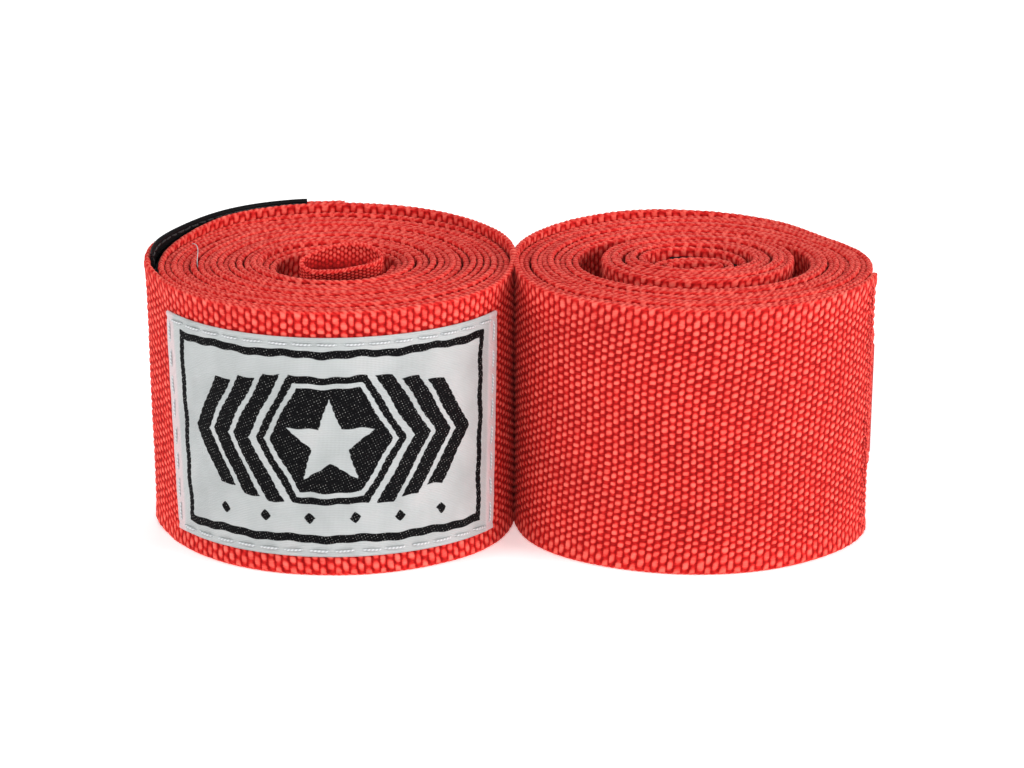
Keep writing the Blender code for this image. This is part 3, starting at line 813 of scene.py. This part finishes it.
def build_right_cloth():
    line, inner = RIGHT_COIL, RIGHT_CORE
    hinge = line.turn_at(RIGHT_BEND_ANGLES[0])
    exposed, core_last = RIGHT_COIL_TURNS - 1, inner.turns - 1
    coil = cloth("right_coil_cloth", line, (0.0, exposed, HIDDEN_TURN, 4), (exposed, hinge, OUTER_TURN))
    end = cloth("right_end_cloth", line, (hinge, line.turns, FREE_END))
    bend(end, line, RIGHT_BEND_ANGLES)
    core = cloth("right_core_cloth", inner, (0.0, 1.2, INNER_TURN), (1.2, core_last, HIDDEN_TURN, 4),
                 (core_last, inner.turns, INNER_TURN))
    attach(coil, "right_coil")
    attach(core, "right_core")
    declare_band("right_band_core", inner.length_of(inner.turns))
    declare_band("right_band_coil", line.length_of(hinge))
    declare_band("right_band_end", line.length_of(line.turns) - line.length_of(hinge))


def bend(piece, line, angles):
    """Bakes a piece's placement into its mesh. The points at the two angles are worked out but not used."""
    ends = (line.point(line.turn_at(angle)) for angle in angles)
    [(float(x), float(y), 0.0) for x, y in ends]
    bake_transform(piece)


def declare_band(node, length):
    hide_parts(node)


# ---------------------------------------------------------------- strips on any path

def even_path(x, y, step, closed):
    """Evenly spaced places along a path, with its points, unit normals to the right and unit tangents."""
    if closed:
        x, y = np.append(x, x[0]), np.append(y, y[0])
    lengths = np.concatenate([[0.0], np.cumsum(np.hypot(np.diff(x), np.diff(y)))])
    count = max(4, round(lengths[-1] / step))
    places = np.linspace(0.0, lengths[-1], count + 1)
    if closed:
        places = places[:-1]
    x, y = np.interp(places, lengths, x), np.interp(places, lengths, y)
    if closed:
        tx, ty = np.roll(x, -1) - np.roll(x, 1), np.roll(y, -1) - np.roll(y, 1)
    else:
        tx, ty = np.gradient(x), np.gradient(y)
    size = np.hypot(tx, ty)
    return places, x, y, ty / size, -tx / size, tx / size, ty / size


def woven_strip(mesher, path, low, high, closed, pick=1.05 * MM, end=0.60 * MM, half=0.22 * MM,
                bead=0.22 * MM, shape=None, painted_shade=None):
    """A narrower woven strip along a path, with the weave on both faces. shape moves its points, and
    between the two given heights its inner face is painted in shade, from all recess colour below them to its
    own relief above."""
    if closed:
        total = sum(np.hypot(*(np.diff(np.append(side, side[0])) for side in path)))
        pick = total / (2 * round(total / pick / 2))
    places, x, y, nx, ny, _, _ = (v[:, None] for v in even_path(*path, pick / 5, closed))
    edge = 0.40 * MM
    inside_edges = high - low - 2 * edge
    ends = round(inside_edges / end)
    rows = Rows(ends_from(0, ends, 1 / 3), ends_from(0, ends, 1 / 3), 7, ends)
    row, across, up = rows.end, rows.across, rows.up
    column = places / pick
    edge_share = np.abs(up)
    near_edge = 1 - smooth_step(np.minimum(row, ends - row), 0.0, 2.0)
    relief = bead_relief(column, row) * (1 - edge_share) + braid_relief(column, across) * edge_share
    out = bead * relief - 0.05 * MM
    thick = half + (0.36 * MM - half) * near_edge
    height = low + edge + row / ends * inside_edges
    normal = thick * across + out * across / np.hypot(across, up)
    z = height + (edge * 0.8 + out) * up
    px, py = x + nx * normal, y + ny * normal
    if shape:
        px, py, z = shape(px, py, z)
    band = np.stack([places + 0 * z, height + 0 * z, (across + 0 * z) * MM], axis=-1)
    # Painted shade: below the given heights the inner face takes the recess colour, fading to its own relief
    # above them.
    if painted_shade:
        inside = smooth_step(-across, 0.2, 0.9)
        relief = relief * (1 - inside * (1 - smooth_step(z, *painted_shade)))
    mesher.tube(np.stack([px, py, z], axis=-1), relief, band, joined=closed)


def strands(mesher, lines, radius, sides):
    """Threads along an array of lines, shaped (thread, step, 3). radius may vary with the step."""
    count, steps = lines.shape[:2]
    tangent = np.gradient(lines, axis=1)
    tangent /= np.linalg.norm(tangent, axis=2, keepdims=True) + 1e-12
    helper = np.array([0.31, 0.27, 0.91])
    side = np.cross(tangent, helper)
    side /= np.linalg.norm(side, axis=2, keepdims=True)
    other = np.cross(tangent, side)
    angles = np.arange(sides) * TAU / sides
    size = (np.zeros(steps) + radius)[None, :, None, None]
    ring = (lines[:, :, None, :] + size * (side[:, :, None, :] * np.cos(angles)[:, None]
                                           + other[:, :, None, :] * np.sin(angles)[:, None]))
    number = np.arange(count * steps * sides).reshape(count, steps, sides)
    nxt = np.roll(number, -1, axis=2)
    quads = np.stack([number[:, :-1], nxt[:, :-1], nxt[:, 1:], number[:, 1:]], axis=-1).reshape(-1, 4)
    caps = [number[:, 0, ::-1].reshape(-1, sides), number[:, -1].reshape(-1, sides)]
    length = np.linalg.norm(np.diff(lines, axis=1), axis=2).cumsum(axis=1)
    length = np.concatenate([np.zeros((count, 1)), length], axis=1)
    band = np.zeros(ring.shape)
    band[..., 0] = length[:, :, None]
    band[..., 1] = angles / TAU * MM
    mesher.add(ring, [quads, *caps], THREAD_RELIEF, band)


# ---------------------------------------------------------------- patches sewn on a band

class Patch:
    """Places on a spiral band, by how far along the patch they are, how high and how far outward."""

    def __init__(self, line, first, last):
        self.line = line
        self.start = line.length_of(first)
        self.length = line.length_of(last) - self.start

    def place(self, along, height, out):
        along, height, out = np.broadcast_arrays(along, height, out)
        turn = self.line.turn_of(self.start + along)
        x, y, nx, ny, _, _ = self.line.frame_at(turn)
        z = climbed(height, self.line, turn) + self.line.lift(x, y)
        return tapered(np.stack([x + nx * out, y + ny * out, z], axis=-1), self.line)

    def slab(self, mesher, along, heights, inner, outer, relief, shift=None, **more):
        """A closed thin sheet. outer is its front face's distance outward at each (along, height), and
        shift moves its points along. Its edges are thinner, and its back has only four rows."""
        shift = 0 * outer if shift is None else shift
        number = np.arange(len(heights))
        front = inner + (outer - inner) * np.clip(np.minimum(number, number[::-1]), 0.4, 1.0)
        back_rows = np.linspace(len(heights) - 1, 0, 4).round().astype(int)
        out = np.concatenate([front, np.full((len(along), 4), inner)], axis=1)
        height = np.concatenate([heights, heights[back_rows]])[None, :]
        moved = along[:, None] + np.concatenate([shift, shift[:, back_rows]], axis=1)
        points = self.place(moved, height, out)
        values = {key: np.concatenate([value, value[:, back_rows]], axis=1) for key, value in more.items()}
        shown = np.concatenate([relief, relief[:, back_rows]], axis=1)
        band = np.stack(np.broadcast_arrays(along[:, None], height, 0 * MM), axis=-1)
        mesher.tube(points, shown, band, **values)

    def stitch_line(self, mesher, ends, out, pitch, radius):
        """Running stitches from one (along, height) place to another."""
        (a0, h0), (a1, h1) = ends
        total = math.hypot(a1 - a0, h1 - h0)
        count = max(1, round(total / pitch))
        middle = (np.arange(count) + 0.5) / count
        key = a0 * 900 + h0 * 700
        middle = middle + (chance(middle * 91, key) - 0.5) * 0.10 / count
        half = STITCH_SHARE / 2 / count * (0.92 + 0.16 * chance(middle * 57, key + 3))
        step = np.linspace(-1, 1, 9)
        at = middle[:, None] + half[:, None] * step[None, :]
        drift = (chance(middle * 33, key + 9)[:, None] - 0.5) * 0.25 * MM * step[None, :]
        along, height = a0 + (a1 - a0) * at, h0 + (h1 - h0) * at
        if abs(a1 - a0) > abs(h1 - h0):
            height = height + drift
        else:
            along = along + drift
        sink = radius * (1.7 * np.abs(step) ** 5 - 0.55)
        thinner = radius * (1 - 0.35 * np.abs(step) ** 4)
        strands(mesher, self.place(along, height, out - sink), thinner, 7)


def polygon_distance(x, y, corners):
    """Distance to a polygon's outline, negative inside it."""
    nearest = np.full(np.shape(x), 1e9)
    inside = np.zeros(np.shape(x), bool)
    for (x0, y0), (x1, y1) in zip(corners, corners[1:] + corners[:1]):
        ex, ey = x1 - x0, y1 - y0
        share = np.clip(((x - x0) * ex + (y - y0) * ey) / (ex * ex + ey * ey), 0, 1)
        nearest = np.minimum(nearest, np.hypot(x - x0 - share * ex, y - y0 - share * ey))
        inside ^= ((y0 > y) != (y1 > y)) & (x < (x1 - x0) * (y - y0) / (y1 - y0 + 1e-12) + x0)
    return np.where(inside, -nearest, nearest)


def label_ink(x, y, width, height):
    """Distance in mm to the label's black weave, negative inside it. x and y are mm from its middle.

    A frame, with a hexagonal medal that holds a star, three chevrons on each side, and six diamonds below.
    """
    half_w, half_h = width / 2 - 4.3, height / 2
    outer = np.maximum(np.abs(x) - half_w, np.maximum(y - half_h + 2.3, -y - half_h + 2.8))
    inner = np.maximum(np.abs(x) - half_w + 1.35, np.maximum(y - half_h + 3.9, -y - half_h + 4.4))
    ink = np.maximum(outer, -inner)
    y = y - 1.5
    size = 12.35  # from the hexagon's middle to its sides
    tall, long = np.abs(y), np.abs(x)
    hexagon = np.maximum(tall - size, long * math.cos(math.pi / 6) + tall * 0.5 - size)
    radii = [(3.5 if k % 2 else 8.6, TAU * k / 10) for k in range(10)]
    star = polygon_distance(x, y + 0.6, [(math.sin(a) * radius, math.cos(a) * radius) for radius, a in radii])
    ring = np.abs(hexagon + 1.9) - 0.42
    ink = np.minimum(ink, np.maximum(hexagon, np.maximum(-star, -ring)))
    across = long + tall * math.tan(math.pi / 6)
    for middle, reach in ((17.35, 12.35), (21.75, 11.4), (26.15, 10.2)):
        chevron = np.maximum((np.abs(across - middle) - 1.72) * math.cos(math.pi / 6), tall - reach)
        ink = np.minimum(ink, chevron)
    for place in range(6):
        spot = (np.abs(x - (place - 2.5) * 8.6) + np.abs(y + 15.0)) * math.sqrt(0.5) - 0.85
        ink = np.minimum(ink, spot)
    return ink


def build_label(name, node, line, turns, body, offset):
    """The woven label with its black pattern, and the white running stitch that holds it."""
    patch = Patch(line, *turns)
    mesher = Mesher()
    along = np.linspace(0.0, patch.length, round(patch.length / (0.2 * MM)) + 1)
    heights = np.linspace(LABEL_LOW, LABEL_HIGH, round((LABEL_HIGH - LABEL_LOW) / (0.2 * MM)) + 1)
    width, height = patch.length / MM, (LABEL_HIGH - LABEL_LOW) / MM
    x = along[:, None] / MM - width / 2
    y = (heights[None, :] - LABEL_LOW) / MM - height / 2
    wave = 0.16 * np.sin(0.47 * x + 1.0) + 0.10 * np.sin(1.34 * x)
    lean = 0.12 * np.sin(0.8 * y) + 0.10 * np.sin(0.35 * y + 1)
    notch = 0.17 * (1 - np.abs(np.sin(math.pi * (y + 0.2 * np.sin(0.5 * x)) / 1.35))) ** 1.5
    to_edge, to_side = height / 2 - np.abs(y), width / 2 - np.abs(x)
    ink = label_ink(x + lean, y + wave, width, height) + notch * (to_side > 3)
    pucker = 0.10 * np.cos(TAU * x / (STITCH_PITCH / MM)) * np.exp(-((to_edge - 1.2) / 1.3) ** 2)
    swell = 0.05 * np.sin(0.9 * x + 0.4 * y) * np.sin(0.5 * y - 0.3 * x)
    dent = -0.13 * np.exp(-((to_edge - 1.25) / 0.35) ** 2)
    fold = 1 - smooth_step(to_side, 2.2, 2.9) + 0 * y
    black = smooth_step(-ink, -0.05, 0.12)
    surface = offset + LABEL_THICK + MM * (pucker + swell + dent + 0.16 * fold + 0.05 * black)
    narrowed = (along - patch.length / 2)[:, None] * -LABEL_NARROWER * (1 - (y + height / 2) / height)
    patch.slab(mesher, along, heights, offset, surface, 0.5 + 0 * ink, narrowed, ink=ink, fold=fold * 0.85)
    label = mesher.fit(name, "label", body, node)
    thread = Mesher()
    low, high = LABEL_LOW + STITCH_INSET, LABEL_HIGH - STITCH_INSET
    left, right = 1.3 * MM, patch.length - 1.3 * MM
    out = offset + LABEL_THICK + 0.06 * MM
    drawn = LABEL_NARROWER * patch.length / 2
    low_left, low_right = (left + drawn, low), (right - drawn, low)
    for ends in ((low_left, low_right), ((left, high), (right, high))):
        patch.stitch_line(thread, ends, out, STITCH_PITCH, 0.21 * MM)
    for ends in ((low_left, (left, high)), (low_right, (right, high))):
        patch.stitch_line(thread, ends, out + 0.14 * MM, STITCH_PITCH, 0.18 * MM)
    thread.fit(name + "_stitches", "white", body, node + "_stitching")


def build_tape(name, node, line, turns, side, body, kind, raised):
    """A hook or loop tape sewn on a band's outer (side 1) or inner (side -1) face."""
    patch = Patch(line, *turns)
    base = Mesher()
    low = (BAND_WIDTH - TAPE_WIDTH) / 2 + max(raised, 0.0)
    high = (BAND_WIDTH + TAPE_WIDTH) / 2 + raised
    along = np.linspace(0.0, patch.length, round(patch.length / (0.45 * MM)) + 1)
    heights = np.linspace(low, high, round((high - low) / (0.30 * MM)) + 1)
    ribs = 0.5 + 0.5 * np.cos(math.pi * np.arange(len(heights)))[None, :] + 0 * along[:, None]
    wave = 0.05 * MM * np.sin(along[:, None] / (3.1 * MM) + heights[None, :] / (5 * MM))
    surface = TAPE_GAP + TAPE_THICK
    patch.slab(base, along, heights, side * TAPE_GAP, side * (surface + wave + 0.05 * MM * ribs), ribs)
    tape = base.fit(name, kind, body, node)
    pile = Mesher()
    across, down = (1.35 * MM, 1.15 * MM) if kind == "hooks" else (0.95 * MM, 0.85 * MM)
    columns = np.arange(TAPE_BORDER, patch.length - TAPE_BORDER, across)
    rows = np.arange(low + TAPE_BORDER, high - TAPE_BORDER, down)
    a, h = (grid.reshape(-1, 1) for grid in np.meshgrid(columns, rows, indexing="ij"))
    first, second = chance(a * 7000, h * 9000), chance(h * 8000, a * 5000)
    third = chance(a * 3000 + 5, h * 4000)
    a = a + (first - 0.5) * across * 0.6
    h = h + (second - 0.5) * down * 0.6
    step = np.linspace(0.0, 1.0, 6)
    if kind == "hooks":
        reach = 0.26 * MM * np.sign(third - 0.5)
        up = 0.42 * MM * (np.minimum(step * 1.5, 1.0) - np.clip(step - 0.72, 0, 1) * 1.1)
        lines = patch.place(a + reach * np.clip(step - 0.35, 0, 1) * 1.5, h,
                            side * (surface + up - 0.06 * MM))
        strands(pile, lines, 0.085 * MM, 4)
    else:
        wide = (step - 0.5) * (0.30 + 0.25 * first) * 2 * MM
        up = (0.28 + 0.30 * second) * MM * np.sin(math.pi * step)
        lines = patch.place(a + wide * np.cos(TAU * third), h + wide * np.sin(TAU * third),
                            side * (surface + up - 0.08 * MM))
        strands(pile, lines, 0.05 * MM, 3)
    pile.fit(name + "_" + kind, kind, body)
    thread = Mesher()
    inset = 0.9 * MM
    corners = [(inset, low + inset), (patch.length - inset, low + inset),
               (patch.length - inset, high - inset), (inset, high - inset)]
    for ends in zip(corners, corners[1:] + corners[:1]):
        patch.stitch_line(thread, ends, side * (surface + 0.08 * MM), 2.6 * MM, 0.16 * MM * side)
    thread.fit(name + "_stitches", "black", body, node + "_stitching")


def build_hem(name, node, line, body):
    """The band's outer end, folded in and stitched down."""
    patch = Patch(line, line.turn_of(line.length_of(line.turns) - HEM_LENGTH), line.turns)
    depth = 1.12 * MM
    along = np.linspace(0.0, patch.length - 0.3 * MM, 12)
    bow = np.linspace(0.0, math.pi, 9)[1:]
    run = np.concatenate([along, patch.length - 0.3 * MM + 0.62 * MM * np.sin(bow)])
    inward = np.concatenate([np.full(12, -depth), -depth / 2 * (1 + np.cos(bow))])
    spots = np.minimum(run, patch.length)
    flat = patch.place(spots, 0.0 * run, inward)
    ahead = patch.place(patch.length, 0.0, 0.0) - patch.place(patch.length - 0.2 * MM, 0.0, 0.0)
    ahead /= np.linalg.norm(ahead)
    flat = flat + (run - spots)[:, None] * ahead
    rise = float(line.climb(np.array(line.turns)))
    mesher = Mesher()
    woven_strip(mesher, (flat[:, 0], flat[:, 1]), rise + 0.15 * MM, rise + BAND_WIDTH - 0.05 * MM, False,
                PICK, 0.74 * MM, 0.22 * MM, 0.26 * MM, shape=taper_on(line))
    hem = mesher.fit(name, "cloth", body, node)
    thread = Mesher()
    at = patch.length - HEM_STITCH_INSET
    for shift in (0.0, 1.5 * MM):
        patch.stitch_line(thread, ((at + shift, 1.0 * MM), (at + shift, BAND_WIDTH - 1.0 * MM)),
                          FACE + 0.06 * MM, 2.7 * MM, 0.15 * MM)
    thread.fit(name + "_stitches", "red", body, node + "_stitching")


def build_left_loop():
    """The thumb loop, a strap folded on itself that stands in the hollow of the left roll."""
    angle = np.linspace(0.0, TAU, 400, endpoint=False)
    x0, y0 = LEFT_LOOP_CENTRE
    long, wide = LEFT_LOOP_HALF
    px = x0 + np.sign(np.cos(angle)) * np.abs(np.cos(angle)) ** 0.9 * long
    py = y0 + np.sign(np.sin(angle)) * np.abs(np.sin(angle)) ** 1.15 * wide
    low = LEFT_LOOP_TOP - LEFT_LOOP_HEIGHT

    def shape(x, y, z):
        """Opens the loop towards its top, and tips its top edge so that the back stands higher."""
        up = smooth_step(z, LEFT_LOOP_TOP - LEFT_LOOP_MOUTH, LEFT_LOOP_TOP)
        far = (y - y0) / wide
        wider = np.where(far < 0, *LEFT_LOOP_OPEN)
        y = y0 + (y - y0) * (LEFT_LOOP_NARROW + (1 - LEFT_LOOP_NARROW) * up) + up * far * wider
        y = y + 0.35 * MM * up * np.sin((x - x0) / (2.9 * MM)) * np.abs(far)
        tip = smooth_step(x0 - x, 2.0 * MM, long)
        z = z + up * (LEFT_LOOP_TILT * (y - y0) + 0.2 * MM * np.sin((x - x0) / (2.3 * MM)) - 1.0 * MM * tip)
        return x, y, z + 0.1 * MM * up

    mesher = Mesher()
    # its inner face is painted darker towards the bottom as painted shade
    woven_strip(mesher, (px, py), low, LEFT_LOOP_TOP, True, pick=0.72 * MM, end=0.42 * MM, bead=0.15 * MM,
                shape=shape, painted_shade=LEFT_LOOP_SHADE_HEIGHTS)
    loop = mesher.fit("left_thumb_strap", "strap", "left_thumb_loop", "left_thumb_loop")
    tack = Mesher()
    x = x0 + long + 1.25 * MM
    z = np.arange(low + 2.2 * MM, BAND_WIDTH - 2.2 * MM, 0.40 * MM)
    step = np.linspace(-1, 1, 9)[None, :]
    lines = np.stack(np.broadcast_arrays(x - 0.25 * MM * step ** 2 + 0.10 * MM * chance(z * 9000)[:, None],
                                         y0 + 1.45 * MM * step, z[:, None] + 0.16 * MM * step), axis=-1)
    strands(tack, lines, 0.26 * MM, 7)
    tack.fit("left_strap_bartack", "red", "left_core", "left_loop_bartack")


def build_right_loop():
    """The other thumb loop, flat against the outer turn behind the free end."""
    line = RIGHT_COIL
    angles = np.linspace(*RIGHT_LOOP_ANGLES, 60)
    turns = np.array([line.turn_at(angle) for angle in angles])
    x, y, nx, ny, tx, ty = line.frame_at(turns)
    point, normal, tangent = (np.stack(pair, axis=-1) for pair in ((x, y), (nx, ny), (tx, ty)))
    near, far = RIGHT_LOOP_OFFSETS
    middle, reach = (near + far) / 2, (far - near) / 2
    bow = np.linspace(-math.pi / 2, math.pi / 2, 9)[1:-1, None]

    def rounded(place, way):
        out = middle + way * reach * np.sin(bow)
        return point[place] + normal[place] * out + tangent[place] * (way * reach * np.cos(bow))

    path = np.concatenate([point + normal * near, rounded(-1, 1), (point + normal * far)[::-1],
                           rounded(0, -1)])
    low = (BAND_WIDTH - LOOP_WIDTH) / 2
    mesher = Mesher()
    woven_strip(mesher, (path[:, 0], path[:, 1]), low, low + LOOP_WIDTH, True, half=0.18 * MM,
                bead=0.16 * MM, shape=taper_on(line))
    loop = mesher.fit("right_thumb_strap", "strap", "right_thumb_loop", "right_thumb_loop")
    tack = Mesher()
    turn = line.turn_at(RIGHT_TACK_ANGLE)
    z = np.arange(low + 2.3 * MM, low + LOOP_WIDTH - 2.3 * MM, 0.42 * MM)
    step = np.linspace(-1, 1, 7)[None, :]
    patch = Patch(line, turn, turn + 0.01)
    lines = patch.place(0.9 * MM * step + 0.1 * MM * (chance(z * 9000)[:, None] - 0.5),
                        z[:, None] + 0.17 * MM * step, far + 0.36 * MM - 0.20 * MM * step ** 4)
    strands(tack, lines, 0.16 * MM, 6)
    tack.fit("right_strap_bartack", "red", "right_thumb_loop", "right_loop_bartack")


def build_left_trim():
    line, under = LEFT, ("left_coil_cloth",)
    label, hooks = ([line.turn_at(angle) for angle in angles] for angles in (LABEL_ANGLES, HOOK_ANGLES))
    loops = [line.turn_at(angle, layer=1) for angle in LOOP_TAPE_ANGLES]
    build_label("left_label_weave", "left_label", line, label, "left_coil", 0.66 * MM)
    build_tape("left_hook_strip", "left_hook_tape", line, hooks, -1, "left_flap", "hooks", FLAP_TAPE_RISE)
    build_tape("left_loop_strip", "left_loop_tape", line, loops, 1, "left_coil", "loops", 0.0)
    build_hem("left_flap_fold", "left_flap_hem", line, "left_flap")


def build_right_trim():
    line, body, under = RIGHT_CORE, "right_core", ("right_core_cloth",)
    build_hem("right_end_fold", "right_end_hem", RIGHT_COIL, "right_end")
    build_label("right_label_weave", "right_label", line, RIGHT_LABEL_TURNS, body, 0.60 * MM)
    for kind, turns, side in (("hook", RIGHT_HOOK_TURNS, -1), ("loop", RIGHT_LOOP_TAPE_TURNS, 1)):
        build_tape("right_" + kind + "_strip", "right_" + kind + "_tape", line, turns, side, body,
                   kind + "s", SUNK_TAPE)


def build_loose_thread():
    """A cut end of sewing thread that lies on the left roll beside the closure."""
    share = np.linspace(0.0, 1.0, 24)
    x = -60.6 * MM + 2.4 * MM * share + 0.5 * MM * np.sin(5 * share)
    y = 7.0 * MM - 11.5 * MM * share + 0.5 * MM * np.sin(9 * share)
    z = BAND_WIDTH + 0.9 * MM + 0.7 * MM * np.sin(4 * share + 0.4) - 0.6 * MM * share
    mesher = Mesher()
    strands(mesher, np.stack([x, y, z], axis=-1)[None], 0.09 * MM, 6)
    mesher.fit("loose_thread", "white", "left_coil")


add_camera()
add_studio()
MATERIALS.update(make_materials())
LEFT, RIGHT_CORE, RIGHT_COIL = left_spiral(), right_core_spiral(), right_coil_spiral()
build_left_cloth()
build_left_loop()
build_left_trim()
build_right_cloth()
build_right_loop()
build_right_trim()
build_loose_thread()
